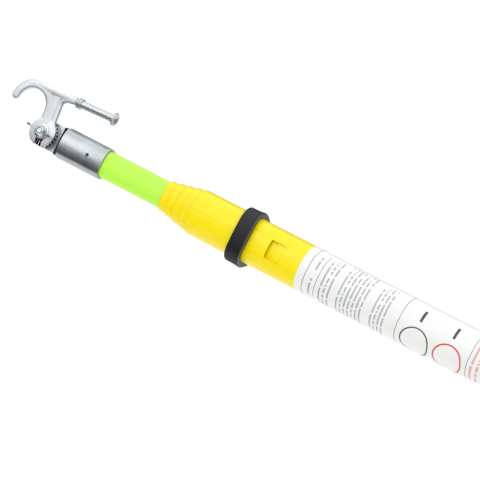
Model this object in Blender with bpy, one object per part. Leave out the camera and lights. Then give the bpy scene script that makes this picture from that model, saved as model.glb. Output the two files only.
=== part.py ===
"""Telescopic insulating rod of nested rounded-triangle tubes, with a toothed end fitting and a hook head.

The rod lies along X: the butt cap's end face is at x = 0 and the head points towards -X. Everything hangs from
the empty rod_axis, whose local axes are x along the rod towards the butt, y across it, and z out of the flat
that holds the lock windows. Metres, +Z up.
"""

from math import asin, atan2, cos, degrees, hypot, pi, radians, sin, sqrt

import bmesh
import bpy
from mathutils import Vector

# Fits between pieces
CLEAR = 0.0003
PRESS_ROOM = 0.003

# Rounded-triangle tube section: corner arcs and flat arcs keep their centres, so every tube is an exact offset
SECTIONS = 6
CORNER_SPREAD = 0.0098
CORNER_R = 0.022
FLAT_R = 0.060
WALL = 0.00205
TUBE_GAP = 0.0004
RIM = 0.0004
CORNER_STEPS = 12
FLAT_STEPS = 5

# Lengths along the rod
BASE_LENGTH = 1.450
STAGGER = 0.0127
TIP_SHOWN = 0.0996
PLUG_LENGTH = 0.062

# Lock windows, buttons and springs
WINDOW_FROM_TOP = 0.1372
WINDOW_LENGTH = 0.0244
WINDOW_WIDTH_SHARE = 0.42
WINDOW_CORNER = 0.0025
BUTTON_FROM_FOOT = 0.033
BUTTON_HEIGHT = 0.0072
BUTTON_LIP = 0.0016
BUTTON_LIP_THICK = 0.0018
SPRING_R = 0.0036
SPRING_WIRE = 0.0010
SPRING_LENGTH = 0.0092
SPRING_TURNS = 4

# Butt cap, guard ring and label on the base tube
CAP_FLOOR = 0.005
CAP_WALL = 0.0035
CAP_SKIRT = 0.045
CAP_PLUG = 0.030
GUARD_FROM_TOP = 0.0740
GUARD_SHAPE = (
    (0.0, 0.0058),
    (0.0012, 0.0068),
    (0.009, 0.0069),
    (0.016, 0.0072),
    (0.0215, 0.0080),
    (0.0228, 0.0073),
)
LABEL_FROM_TOP = 0.178
LABEL_LENGTH = 0.420
LABEL_THICK = 0.0002
LABEL_GAP = 0.0001

# Socket fitting: x is measured from the clamp bolt's axis towards the butt
SOCKET_WALL = 0.0026
SOCKET_RIM_X = 0.1028
SOCKET_STEP_X = 0.0344
NECK_FULL_X = 0.0300
SOCKET_BORE = 0.057
LUG_R = 0.0185
LUG_BACK = -0.0115
LUG_FLAT = 0.0
NECK_STEPS = 6
PIN_X = 0.0787
PIN_R = 0.0026
PIN_BORE_R = 0.0015
PIN_LENGTH = 0.013

# Teeth that lock the head's angle: level of the lug's crests, and how far above them the slackened head's stand
TEETH = 24
TEETH_AT = 0.0070
TOOTH_HEIGHT = 0.0026
TOOTH_INNER_R = 0.0112
TOOTH_SLACK = 0.0003

# Clamp bolt, washer and wing nut
BOLT_R = 0.0039
BOLT_HOLE_R = 0.0043
HEX_FLATS = 0.013
HEX_HEIGHT = 0.0053
WASHER_R = 0.0102
WASHER_THICK = 0.0016
NUT_BASE_R = 0.0078
NUT_TOP_R = 0.0056
NUT_HEIGHT = 0.0062
WING_REACH = 0.0188
WING_THICK = 0.0022
WING_LOBE_R = 0.0050
WING_LOBE_UP = 0.0088
WING_TURN = -4.6

# Hook casting, in its own frame: y up the stem, z along the bolt
HEAD_TURN = 6.1
ARM_DROOP = 3.7
BOSS_R = 0.0189
BOSS_TOP = 0.0115
PLATE_BACK = 0.0035
PLATE_FRONT = 0.0109
PLATE_ROUND = 0.0026
SWING_ROOM = 0.0003
STEM_LEFT = 0.0102
STEM_RIGHT = 0.0119
NECK_LEFT_R = 0.0065
NECK_RIGHT_R = 0.004
EYE_R = 0.0217
EYE_UP = 0.0275
HOOK_OUTER_AT = (-0.0348, 0.0325)
HOOK_OUTER_R = 0.0281
HOOK_TIP_R = 0.0049
ARM_HEIGHT = 0.0098
ARM_TAPER = 8.0
ARM_END = 0.0268
CROTCH_R = 0.0067
SLOT_HALF = 0.0056
PANEL_HALF = 0.0057
PANEL_AT = 0.0007
PANEL_FROM = 0.0150
PANEL_TO = 0.0495
PANEL_DEPTH = 0.0008
PANEL_CORNER = 0.0026

# Prong: lengths along the arm from the arm's end
PRONG_DROP = 0.0006
PRONG_BACK = 0.0008
PRONG_R = 0.0051
PRONG_SHAFT = 0.0502
PRONG_DISC_R = 0.0089
PRONG_DISC = 0.0030
COLLAR_R = 0.0074
COLLAR_LENGTH = 0.0080
SPIGOT_R = 0.0025
SPIGOT_LENGTH = 0.012

YELLOW = (0.95, 0.76, 0.01)
GREEN = (0.45, 0.95, 0.12)
RUBBER = (0.02, 0.022, 0.024)
FILM = (0.85, 0.86, 0.84)
CAST = (0.62, 0.64, 0.66)
STEEL = (0.55, 0.57, 0.60)
PLASTIC = (0.10, 0.10, 0.11)
FOAM = (0.80, 0.76, 0.55)

# Worked out from the sizes above
STEP = WALL + TUBE_GAP
HALF_CHORD = CORNER_SPREAD * sin(pi / 3)
FLAT_BACK = sqrt((FLAT_R - CORNER_R) ** 2 - HALF_CHORD**2) - CORNER_SPREAD / 2
APOTHEM = FLAT_R - FLAT_BACK
BASE_TOP = CAP_FLOOR + CLEAR + BASE_LENGTH
SOCKET_RIM = BASE_TOP + (SECTIONS - 2) * STAGGER + TIP_SHOWN
BOLT_AT = SOCKET_RIM + SOCKET_RIM_X
TIP_TOP = SOCKET_RIM + SOCKET_BORE - CLEAR
WASHER_BASE = BOSS_TOP + CLEAR
NUT_BASE = WASHER_BASE + WASHER_THICK + CLEAR


def clear_scene():
    for obj in list(bpy.data.objects):
        bpy.data.objects.remove(obj, do_unlink=True)


def material(name, colour, roughness, metallic=0.0):
    found = bpy.data.materials.get(name)
    if found:
        return found
    mat = bpy.data.materials.new(name)
    mat.use_nodes = True
    shader = mat.node_tree.nodes["Principled BSDF"]
    shader.inputs["Base Color"].default_value = (*colour, 1.0)
    shader.inputs["Roughness"].default_value = roughness
    shader.inputs["Metallic"].default_value = metallic
    mat.diffuse_color = (*colour, 1.0)
    return mat


def empty(name, parent=None, x=0.0, turn_x=0.0, turn_z=0.0):
    """a frame to hang pieces from: x along its parent, then turned about its own axes, in degrees"""
    obj = bpy.data.objects.new(name, None)
    bpy.context.scene.collection.objects.link(obj)
    obj.parent = parent
    obj.location = (x, 0, 0)
    obj.rotation_euler = (radians(turn_x), 0, radians(turn_z))
    return obj


def piece(name, bm, parent, mat, x=0.0, smooth=35.0):
    """turns bm into a named object on its parent's axis, smooth up to that many degrees"""
    bmesh.ops.recalc_face_normals(bm, faces=bm.faces)
    mesh = bpy.data.meshes.new(name)
    bm.to_mesh(mesh)
    bm.free()
    obj = bpy.data.objects.new(name, mesh)
    bpy.context.scene.collection.objects.link(obj)
    obj.parent = parent
    obj.location = (x, 0, 0)
    obj.data.materials.append(mat)
    mesh.shade_smooth()
    mesh.set_sharp_from_angle(angle=radians(smooth))
    return obj


def cutter(name, bm, parent, x=0.0):
    obj = piece(name, bm, parent, material("cutter", (1.0, 0.2, 0.2), 0.5), x)
    obj.hide_render = True
    obj.display_type = "WIRE"
    return obj


def combine(obj, other, operation):
    """a Boolean of obj with a helper that stays hidden"""
    mod = obj.modifiers.new(f"{operation.lower()} {other.name}", "BOOLEAN")
    mod.operation = operation
    mod.object = other
    mod.solver = "EXACT"
    other.hide_render = True
    other.display_type = "WIRE"


def arc(centre, radius, start, end, steps):
    """points on an arc, both ends included; angles in degrees"""
    turn = [radians(start + (end - start) * i / steps) for i in range(steps + 1)]
    return [(centre[0] + radius * cos(a), centre[1] + radius * sin(a)) for a in turn]


def rounded_box(x_half, y_half, radius, steps=4):
    centres = (
        (x_half - radius, y_half - radius, 0),
        (radius - x_half, y_half - radius, 90),
        (radius - x_half, radius - y_half, 180),
        (x_half - radius, radius - y_half, 270),
    )
    return [p for cx, cy, a in centres for p in arc((cx, cy), radius, a, a + 90, steps)]


def triangle(offset):
    """the tube section in (y, z), grown by offset from the base tube's outside; one flat faces +z"""
    half_flat = degrees(asin(HALF_CHORD / (FLAT_R - CORNER_R)))
    points = []
    for corner in (30, 150, 270):
        centre = (CORNER_SPREAD * cos(radians(corner)), CORNER_SPREAD * sin(radians(corner)))
        points += arc(centre, CORNER_R + offset, corner - 60 + half_flat, corner + 60 - half_flat, CORNER_STEPS)
        facing = corner + 60
        back = (-FLAT_BACK * cos(radians(facing)), -FLAT_BACK * sin(radians(facing)))
        points += arc(back, FLAT_R + offset, facing - half_flat, facing + half_flat, FLAT_STEPS)[1:-1]
    return points


def outside(section):
    return (section - SECTIONS) * STEP


def inside(section):
    return outside(section) - WALL


def face_height(section):
    """how far the outside of a section's flat stands from the rod's axis"""
    return APOTHEM + outside(section)


def foot(section):
    """distance of a section's foot from the butt end"""
    if section == SECTIONS:
        return CAP_FLOOR + CLEAR
    return CAP_FLOOR + CAP_PLUG + CLEAR + (SECTIONS - 1 - section) * (PLUG_LENGTH + CLEAR)


def top(section):
    """distance of a section's mouth from the butt end"""
    return TIP_TOP if section == 1 else BASE_TOP + (SECTIONS - section) * STAGGER


def window_width(section):
    return WINDOW_WIDTH_SHARE * 2 * (HALF_CHORD + CORNER_R + outside(section))


def skin(bm, rings, closed=False):
    """faces over rings of points, each with the same count; open ends get a cap"""
    rows = [[bm.verts.new(p) for p in ring] for ring in rings]
    count = len(rows[0])
    pairs = list(zip(rows, rows[1:])) + ([(rows[-1], rows[0])] if closed else [])
    for a, b in pairs:
        for i in range(count):
            j = (i + 1) % count
            bm.faces.new((a[i], a[j], b[j], b[i]))
    if not closed:
        bm.faces.new(rows[0])
        bm.faces.new(rows[-1])
    return bm


def sleeve(stations, closed=True):
    """a body with the tube's section: stations are (distance from the butt end, offset)"""
    rings = [[(-s, y, z) for y, z in triangle(offset)] for s, offset in stations]
    return skin(bmesh.new(), rings, closed)


def slab(outline, low, high):
    """an outline in (x, y) made solid from low to high"""
    return skin(bmesh.new(), [[(x, y, z) for x, y in outline] for z in (low, high)])


def turned(profile, steps=32, axis="Z"):
    """a profile of (radius, height) revolved about an axis; a profile that ends on the axis closes itself"""
    bm = bmesh.new()
    verts = [bm.verts.new((r, 0, h)) for r, h in profile]
    edges = [bm.edges.new(pair) for pair in zip(verts, verts[1:])]
    if profile[0][0] > 0:
        edges.append(bm.edges.new((verts[-1], verts[0])))
    bmesh.ops.spin(bm, geom=verts + edges, axis=(0, 0, 1), cent=(0, 0, 0), steps=steps, angle=2 * pi)
    bmesh.ops.remove_doubles(bm, verts=bm.verts, dist=1e-6)
    if axis == "X":
        onto_x = Vector((0, 0, 1)).rotation_difference((1, 0, 0)).to_matrix()
        bmesh.ops.rotate(bm, verts=bm.verts, cent=(0, 0, 0), matrix=onto_x)
    return bm


def round_rims(obj, width, segments, angle=50.0):
    mod = obj.modifiers.new("rounded rims", "BEVEL")
    mod.width = width
    mod.segments = segments
    mod.limit_method = "ANGLE"
    mod.angle_limit = radians(angle)
    return mod


def window_cutter(name, parent, at, width, section, room=0.0):
    """a rounded block that cuts one wall of a section's flat"""
    outline = rounded_box(WINDOW_LENGTH / 2 + room, width / 2 + room, WINDOW_CORNER)
    low = face_height(section) - WALL - 0.004
    return cutter(name, slab(outline, low, face_height(section) + 0.003), parent, -at)


def section_tube(section, parent):
    name = {SECTIONS: "base_tube", 1: "tip_tube"}.get(section, f"section_{section}_tube")
    low, high = foot(section), top(section)
    out, bore = outside(section), inside(section)
    rings = ((low, bore), (low, out - RIM), (low + RIM, out), (high - RIM, out), (high, out - RIM), (high, bore))
    mat = material("tip green" if section == 1 else "tube yellow", GREEN if section == 1 else YELLOW, 0.3)
    tube = piece(name, sleeve(rings), parent, mat, smooth=20.0)
    if section > 1:
        at = high - WINDOW_FROM_TOP
        window = window_cutter(f"window_{section}", parent, at, window_width(section), section)
        combine(tube, window, "DIFFERENCE")
    if section < SECTIONS:
        at = low + BUTTON_FROM_FOOT
        hole = window_cutter(f"button_hole_{section}", parent, at, window_width(section + 1), section)
        combine(tube, hole, "DIFFERENCE")
    return tube


def section_plug(section, parent):
    """the moulded foot of a section, with a pocket for its button and a well for the spring"""
    low = foot(section)
    size = inside(section) - CLEAR
    rings = ((low, size - 0.001), (low + 0.001, size), (low + PLUG_LENGTH, size))
    nylon = material("plug nylon", PLASTIC, 0.5)
    plug = piece(f"section_{section}_plug", sleeve(rings, closed=False), parent, nylon, smooth=20.0)
    at = -(low + BUTTON_FROM_FOOT)
    width = window_width(section + 1)
    floor = face_height(section) - BUTTON_HEIGHT - PRESS_ROOM - CLEAR
    outline = rounded_box(WINDOW_LENGTH / 2 + BUTTON_LIP + CLEAR, width / 2 + CLEAR, WINDOW_CORNER)
    pocket = cutter(f"button_pocket_{section}", slab(outline, floor, face_height(section) + 0.002), parent, at)
    combine(plug, pocket, "DIFFERENCE")
    under = face_height(section) - BUTTON_HEIGHT - SPRING_LENGTH - 2 * CLEAR
    well = slab(arc((0, 0), SPRING_R + SPRING_WIRE + CLEAR, 0, 345, 23), under, floor + 0.002)
    combine(plug, cutter(f"spring_well_{section}", well, parent, at), "DIFFERENCE")
    return plug


def lock_button(section, parent):
    """snaps out through its own tube into the next tube's window; a lip at both ends keeps it in"""
    width = window_width(section + 1) / 2 - CLEAR
    length = WINDOW_LENGTH / 2 - CLEAR
    high = face_height(section)
    low = high - BUTTON_HEIGHT
    at = -(foot(section) + BUTTON_FROM_FOOT)
    body = slab(rounded_box(length, width, WINDOW_CORNER - CLEAR), low + 0.0004, high + 0.004)
    nylon = material("button nylon", PLASTIC, 0.4)
    button = piece(f"lock_button_{section}", body, parent, nylon, at, smooth=30.0)
    lip = slab(rounded_box(length + BUTTON_LIP, width - CLEAR, WINDOW_CORNER), low, low + BUTTON_LIP_THICK)
    combine(button, cutter(f"button_lip_{section}", lip, parent, at), "UNION")
    crown = sleeve([(-at + end, outside(section) + 0.0001) for end in (-0.02, 0.02)], closed=False)
    combine(button, cutter(f"button_crown_{section}", crown, parent), "INTERSECT")
    return button


def button_spring(section, parent):
    """a coil between the well's floor and the button"""
    base = face_height(section) - BUTTON_HEIGHT - SPRING_LENGTH - CLEAR
    radius = SPRING_WIRE / 2
    steps = SPRING_TURNS * 10
    rings = []
    for i in range(steps + 1):
        turn = 2 * pi * SPRING_TURNS * i / steps
        z = base + radius + (SPRING_LENGTH - 2 * radius) * i / steps
        for_ring = []
        for j in range(5):
            a = 2 * pi * j / 5
            r = SPRING_R + radius * cos(a)
            for_ring.append((r * cos(turn), r * sin(turn), z + radius * sin(a)))
        rings.append(for_ring)
    at = -(foot(section) + BUTTON_FROM_FOOT)
    wire = material("spring steel", STEEL, 0.3, 1.0)
    return piece(f"button_spring_{section}", skin(bmesh.new(), rings), parent, wire, at, 80.0)


def butt_cap(parent):
    """rubber cap: a cup over the tube's end and a plug inside it that the sections land on"""
    grip, hold = CAP_WALL, inside(SECTIONS) - CLEAR
    edge = 0.001
    rings = (
        (0, grip - 2 * edge),
        (0.6 * edge, grip - 0.6 * edge),
        (2 * edge, grip),
        (CAP_SKIRT - edge, grip),
        (CAP_SKIRT, grip - edge),
        (CAP_SKIRT, CLEAR),
        (CAP_FLOOR, CLEAR),
        (CAP_FLOOR, hold),
        (CAP_FLOOR + CAP_PLUG - edge, hold),
        (CAP_FLOOR + CAP_PLUG, hold - edge),
    )
    return piece("butt_cap", sleeve(rings, closed=False), parent, material("rubber", RUBBER, 0.7), smooth=30.0)


def guard_ring(parent):
    """rubber hand guard, a little waisted, with its lip towards the butt"""
    start = BASE_TOP - GUARD_FROM_TOP
    rings = [(start - s, offset) for s, offset in GUARD_SHAPE]
    rings += [(start - GUARD_SHAPE[-1][0], CLEAR), (start, CLEAR)]
    return piece("guard_ring", sleeve(rings), parent, material("rubber", RUBBER, 0.7), smooth=50.0)


def wrap_label(parent):
    start = BASE_TOP - LABEL_FROM_TOP
    end, skin_at = start - LABEL_LENGTH, LABEL_GAP + LABEL_THICK
    rings = [(start, LABEL_GAP), (start, skin_at), (end, skin_at), (end, LABEL_GAP)]
    return piece("wrap_label", sleeve(rings), parent, material("label film", FILM, 0.35), smooth=30.0)


def tip_core(parent):
    size = inside(1) - CLEAR
    low = foot(1) + PLUG_LENGTH + CLEAR
    body = sleeve(((low, size), (TIP_TOP - CLEAR, size)), closed=False)
    core = piece("tip_core", body, parent, material("foam", FOAM, 0.9), smooth=20.0)
    combine(core, pin_hole("core_pin_hole", parent), "DIFFERENCE")
    return core


def pin_hole(name, parent):
    """where the hollow pin passes through socket, tube and core"""
    high = face_height(1) + CLEAR + SOCKET_WALL
    hole = slab(arc((0, 0), PIN_R + CLEAR, 0, 345, 23), high - PIN_LENGTH - 3 * CLEAR, high + 0.003)
    return cutter(name, hole, parent, PIN_X - BOLT_AT)


def socket_pin(parent):
    high = face_height(1) + CLEAR + SOCKET_WALL - CLEAR
    low = high - PIN_LENGTH
    edge = 0.0004
    profile = (
        (PIN_BORE_R, low),
        (PIN_R - edge, low),
        (PIN_R, low + edge),
        (PIN_R, high - edge),
        (PIN_R - edge, high),
        (PIN_BORE_R, high),
    )
    steel = material("pin steel", STEEL, 0.35, 1.0)
    return piece("socket_pin", turned(profile, 24), parent, steel, PIN_X - BOLT_AT)


def toothed_disc(radius, tip, back):
    """a disc whose face at tip has radial teeth round a sunken land; back is the other face"""
    deep = TOOTH_HEIGHT if tip > back else -TOOTH_HEIGHT
    slots = 2 * TEETH
    edge = 0.0008 if back > tip else -0.0008

    def ring(r, heights):
        return [(r * cos(2 * pi * i / slots), r * sin(2 * pi * i / slots), heights(i)) for i in range(slots)]

    rings = [
        ring(radius - abs(edge), lambda i: back),
        ring(radius, lambda i: back - edge),
        ring(radius, lambda i: tip - deep * (i % 2)),
        ring(TOOTH_INNER_R, lambda i: tip - deep * (0.35 + 0.55 * (i % 2))),
        ring(TOOTH_INNER_R - 0.0003, lambda i: tip - deep),
    ]
    return skin(bmesh.new(), rings)


def ray_to(outline, centre, angle):
    """where a ray from centre leaves a convex outline"""
    dx, dy = cos(angle), sin(angle)
    for (x0, y0), (x1, y1) in zip(outline, outline[1:] + outline[:1]):
        ex, ey = x1 - x0, y1 - y0
        area = dx * ey - dy * ex
        if abs(area) < 1e-15:
            continue
        wx, wy = x0 - centre[0], y0 - centre[1]
        reach = (wx * ey - wy * ex) / area
        along = (wx * dy - wy * dx) / area
        if reach > 0 and -1e-9 <= along <= 1 + 1e-9:
            return centre[0] + reach * dx, centre[1] + reach * dy
    raise ValueError("the centre is outside the outline")


def socket_fitting(parent):
    """a triangular socket that necks down to a lug with a toothed face; its top is milled flat up to a step"""
    full = triangle(outside(1) + CLEAR + SOCKET_WALL)
    low, high = LUG_BACK + 0.0005, LUG_FLAT + 0.004
    middle = (0.0, (low + high) / 2)
    flat = [(y, z + middle[1]) for y, z in rounded_box(LUG_R - CLEAR, (high - low) / 2, 0.003)]
    lug = [ray_to(flat, middle, atan2(z - middle[1] * 0.5, y)) for y, z in full]
    rings = [[(LUG_R * 0.45, y, z) for y, z in lug]]
    start = LUG_R + CLEAR
    for i in range(NECK_STEPS + 1):
        t = i / NECK_STEPS
        blend = t * t * (3 - 2 * t)
        x = start + (NECK_FULL_X - start) * t
        pairs = zip(lug, full)
        rings.append([(x, ly + (fy - ly) * blend, lz + (fz - lz) * blend) for (ly, lz), (fy, fz) in pairs])
    chamfer = 0.0008
    for x, section in (
        (SOCKET_RIM_X - chamfer, full),
        (SOCKET_RIM_X, triangle(outside(1) + CLEAR + SOCKET_WALL - chamfer)),
        (SOCKET_RIM_X, triangle(outside(1) + CLEAR)),
        (SOCKET_RIM_X - SOCKET_BORE, triangle(outside(1) + CLEAR)),
    ):
        rings.append([(x, y, z) for y, z in section])
    cast = material("cast aluminium", CAST, 0.35, 1.0)
    socket = piece("socket_fitting", skin(bmesh.new(), rings), parent, cast, -BOLT_AT, 30.0)
    combine(socket, pin_hole("socket_pin_hole", parent), "DIFFERENCE")
    reach = 2 * LUG_R
    milled = [(-reach, -reach), (SOCKET_STEP_X, -reach), (SOCKET_STEP_X, reach), (-reach, reach)]
    combine(socket, cutter("lug_flat", slab(milled, LUG_FLAT, reach), parent, -BOLT_AT), "DIFFERENCE")
    disc = cutter("lug_disc", toothed_disc(LUG_R, TEETH_AT, LUG_BACK), parent, -BOLT_AT)
    combine(socket, disc, "UNION")
    bore = slab(arc((0, 0), BOLT_HOLE_R, 0, 348.75, 31), LUG_BACK - 0.005, TEETH_AT + 0.005)
    combine(socket, cutter("lug_hole", bore, parent, -BOLT_AT), "DIFFERENCE")
    return socket


def arm_point(along, up):
    """a point of the casting from the arm's own direction"""
    a = radians(ARM_DROOP)
    return along * cos(a) + up * sin(a), up * cos(a) - along * sin(a)


def arm_top():
    a = radians(ARM_DROOP)
    return HOOK_OUTER_AT[0] * sin(a) + HOOK_OUTER_AT[1] * cos(a) + HOOK_OUTER_R


def circles_meet(c0, r0, c1, r1):
    """the lower of the two points at r0 from c0 and r1 from c1"""
    dx, dy = c1[0] - c0[0], c1[1] - c0[1]
    d = hypot(dx, dy)
    along = (r0 * r0 - r1 * r1 + d * d) / (2 * d)
    side = sqrt(r0 * r0 - along * along)
    foot_x, foot_y = c0[0] + along * dx / d, c0[1] + along * dy / d
    both = [(foot_x + s * side * dy / d, foot_y - s * side * dx / d) for s in (1, -1)]
    return min(both, key=lambda p: p[1])


def direction(a, b):
    return degrees(atan2(b[1] - a[1], b[0] - a[0]))


def hook_outline():
    """arm, hook and stem as arcs and the straight runs between them, anticlockwise from the arm's end"""
    eye = (-(STEM_LEFT + EYE_R), EYE_UP)
    outer = HOOK_OUTER_AT
    tip = circles_meet(outer, HOOK_OUTER_R - HOOK_TIP_R, eye, EYE_R + HOOK_TIP_R)
    to_outer = direction(outer, tip) % 360
    to_eye = direction(tip, eye) % 360
    under = arm_point(ARM_END, arm_top() - ARM_HEIGHT)
    points = [under, arm_point(ARM_END, arm_top())]
    points += arc(outer, HOOK_OUTER_R, 90 - ARM_DROOP, to_outer, 26)
    points += arc(tip, HOOK_TIP_R, to_outer, to_eye + (360 if to_eye < to_outer else 0), 12)[1:]
    points += arc(eye, EYE_R, (to_eye + 180) % 360, 0, 30)[1:]
    neck_x = STEM_LEFT + NECK_LEFT_R
    neck_y = sqrt((BOSS_R + NECK_LEFT_R) ** 2 - neck_x**2)
    points += arc((-neck_x, neck_y), NECK_LEFT_R, 0, -degrees(atan2(neck_y, neck_x)), 6)
    points += [(-BOSS_R * 0.5, 0.0), (BOSS_R * 0.5, 0.0)]
    neck_x = STEM_RIGHT + NECK_RIGHT_R
    neck_y = sqrt((BOSS_R + NECK_RIGHT_R) ** 2 - neck_x**2)
    points += arc((neck_x, neck_y), NECK_RIGHT_R, 180 + degrees(atan2(neck_y, neck_x)), 180, 5)
    crotch_x = STEM_RIGHT + CROTCH_R
    slope = radians(ARM_TAPER - ARM_DROOP)
    crotch_y = under[1] - (under[0] - crotch_x) * sin(slope) / cos(slope) - CROTCH_R / cos(slope)
    points += arc((crotch_x, crotch_y), CROTCH_R, 180, 90 + ARM_TAPER - ARM_DROOP, 9)
    return points


def hook_casting(parent):
    """hook, stem and arm as one rounded plate on a slotted boss with teeth on its back"""
    crests = TEETH_AT + TOOTH_SLACK
    plate = cutter("hook_plate", slab(hook_outline(), PLATE_BACK, PLATE_FRONT), parent)
    round_rims(plate, PLATE_ROUND, 3)
    room = slab(arc((0, 0), LUG_R + SWING_ROOM, 0, 354, 59), PLATE_BACK - 0.002, crests + TOOTH_HEIGHT)
    combine(plate, cutter("swing_room", room, parent), "DIFFERENCE")
    disc = toothed_disc(BOSS_R, crests, BOSS_TOP)
    casting = piece("hook_casting", disc, parent, material("cast aluminium", CAST, 0.35, 1.0), smooth=30.0)
    combine(casting, plate, "UNION")
    slot = arc((0, 0), SLOT_HALF, 0, 180, 16) + [(-SLOT_HALF, -2 * BOSS_R), (SLOT_HALF, -2 * BOSS_R)]
    combine(casting, cutter("boss_slot", slab(slot, PLATE_BACK, BOSS_TOP + 0.002), parent), "DIFFERENCE")
    half = (PANEL_TO - PANEL_FROM) / 2
    panel = [(x + PANEL_AT, y + PANEL_FROM + half) for x, y in rounded_box(PANEL_HALF, half, PANEL_CORNER)]
    recess = slab(panel, PLATE_FRONT - PANEL_DEPTH, PLATE_FRONT + 0.002)
    combine(casting, cutter("stem_panel", recess, parent), "DIFFERENCE")
    wide, deep = SPIGOT_R + CLEAR, SPIGOT_LENGTH + CLEAR
    hole = cutter("prong_hole", turned(((0, -0.001), (wide, -0.001), (wide, deep), (0, deep)), 24, "X"), parent)
    place_on_arm(hole, ARM_END, back=True)
    combine(casting, hole, "DIFFERENCE")
    return casting


def place_on_arm(obj, along, back=False):
    x, y = arm_point(along, arm_top() - ARM_HEIGHT / 2 - PRONG_DROP)
    obj.location = (x, y, (PLATE_BACK + PLATE_FRONT) / 2 - PRONG_BACK)
    obj.rotation_euler = (0, 0, radians(-ARM_DROOP + (180 if back else 0)))


def prong(parent):
    """a turned pin: spigot in the arm, a collar of two beads, a shaft and an end disc"""
    bead = COLLAR_LENGTH / 4
    collar = [
        (COLLAR_R - bead + bead * sin(radians(a)), CLEAR + bead * (2 * i + 1) - bead * cos(radians(a)))
        for i in range(2) for a in range(15, 180, 30)
    ]
    end = COLLAR_LENGTH + PRONG_SHAFT
    edge = 0.0007
    profile = [(0, -SPIGOT_LENGTH), (SPIGOT_R, -SPIGOT_LENGTH), (SPIGOT_R, CLEAR)] + collar
    profile += [(PRONG_R, COLLAR_LENGTH + CLEAR), (PRONG_R, end)]
    profile += [(PRONG_DISC_R - edge, end), (PRONG_DISC_R, end + edge)]
    profile += [(PRONG_DISC_R, end + PRONG_DISC - edge), (PRONG_DISC_R - edge, end + PRONG_DISC)]
    profile += [(0, end + PRONG_DISC)]
    bright = material("prong aluminium", CAST, 0.3, 1.0)
    pin = piece("prong", turned(profile, 32, "X"), parent, bright, smooth=40.0)
    place_on_arm(pin, ARM_END)
    return pin


def clamp_bolt(parent):
    """hexagon head behind the lug, shank through lug, slot, washer and nut"""
    under = LUG_BACK - CLEAR
    end = NUT_BASE + NUT_HEIGHT + 0.0004
    hexagon = arc((0, 0), HEX_FLATS / sqrt(3), 0, 300, 5)
    steel = material("bolt steel", STEEL, 0.3, 1.0)
    bolt = piece("clamp_bolt", slab(hexagon, under - HEX_HEIGHT, under), parent, steel, -BOLT_AT)
    round_rims(bolt, 0.0006, 1, 40.0)
    start, edge = under - 0.003, 0.0012
    shank = turned(((0, start), (BOLT_R, start), (BOLT_R, end - edge), (BOLT_R - edge, end), (0, end)), 32)
    combine(bolt, cutter("bolt_shank", shank, parent, -BOLT_AT), "UNION")
    return bolt


def flat_washer(parent):
    low, high, edge = WASHER_BASE, WASHER_BASE + WASHER_THICK, 0.0002
    profile = (
        (BOLT_HOLE_R, low),
        (WASHER_R - edge, low),
        (WASHER_R, low + edge),
        (WASHER_R, high - edge),
        (WASHER_R - edge, high),
        (BOLT_HOLE_R, high),
    )
    return piece("flat_washer", turned(profile, 40), parent, material("washer steel", STEEL, 0.25, 1.0))


def wing_nut(parent):
    """a tapered hub with two lobes that rise outwards"""
    low, high = NUT_BASE, NUT_BASE + NUT_HEIGHT
    edge = 0.0005
    hub = (
        (0, low),
        (NUT_BASE_R - edge, low),
        (NUT_BASE_R, low + edge),
        (NUT_BASE_R, low + 3 * edge),
        (NUT_TOP_R, high - edge),
        (NUT_TOP_R - edge, high),
        (0, high),
    )
    nut = piece("wing_nut", turned(hub, 32), parent, material("nut zinc", STEEL, 0.3, 1.0), smooth=30.0)
    lobe_x = WING_REACH - WING_LOBE_R
    lobe = [(NUT_TOP_R - 0.003, 0.0015)]
    lobe += arc((lobe_x, WING_LOBE_UP), WING_LOBE_R, -70, 115, 12)
    lobe += [(NUT_TOP_R - 0.003, NUT_HEIGHT - 0.0012)]
    for side, name in ((1, "wing_a"), (-1, "wing_b")):
        rings = [[(side * x, y, low + z) for x, z in lobe] for y in (-WING_THICK / 2, WING_THICK / 2)]
        wing = cutter(name, skin(bmesh.new(), rings), parent)
        round_rims(wing, 0.0008, 2)
        combine(nut, wing, "UNION")
    bore = slab(arc((0, 0), BOLT_HOLE_R, 0, 348.75, 31), low - 0.002, high + 0.006)
    combine(nut, cutter("nut_bore", bore, parent), "DIFFERENCE")
    return nut


def build():
    clear_scene()
    rod = empty("rod_axis", turn_x=60.0)
    section_tube(SECTIONS, rod)
    butt_cap(rod)
    wrap_label(rod)
    guard_ring(empty("guard_ring_slide", rod))
    carrier = rod
    for section in range(SECTIONS - 1, 0, -1):
        carrier = empty(f"section_{section}_slide", carrier)
        section_tube(section, carrier)
        section_plug(section, carrier)
        button_spring(section, carrier)
        lock_button(section, empty(f"button_{section}_slide", carrier))
    tip_core(carrier)
    tip = bpy.data.objects["tip_tube"]
    combine(tip, pin_hole("tube_pin_hole", carrier), "DIFFERENCE")
    socket_fitting(carrier)
    socket_pin(carrier)
    clamp_bolt(carrier)
    head = empty("head_hinge", carrier, -BOLT_AT, turn_z=HEAD_TURN)
    hook_casting(head)
    prong(head)
    lift = empty("washer_slide", carrier, -BOLT_AT)
    flat_washer(lift)
    wing_nut(empty("wing_nut_hinge", lift, turn_z=WING_TURN))


build()
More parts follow.
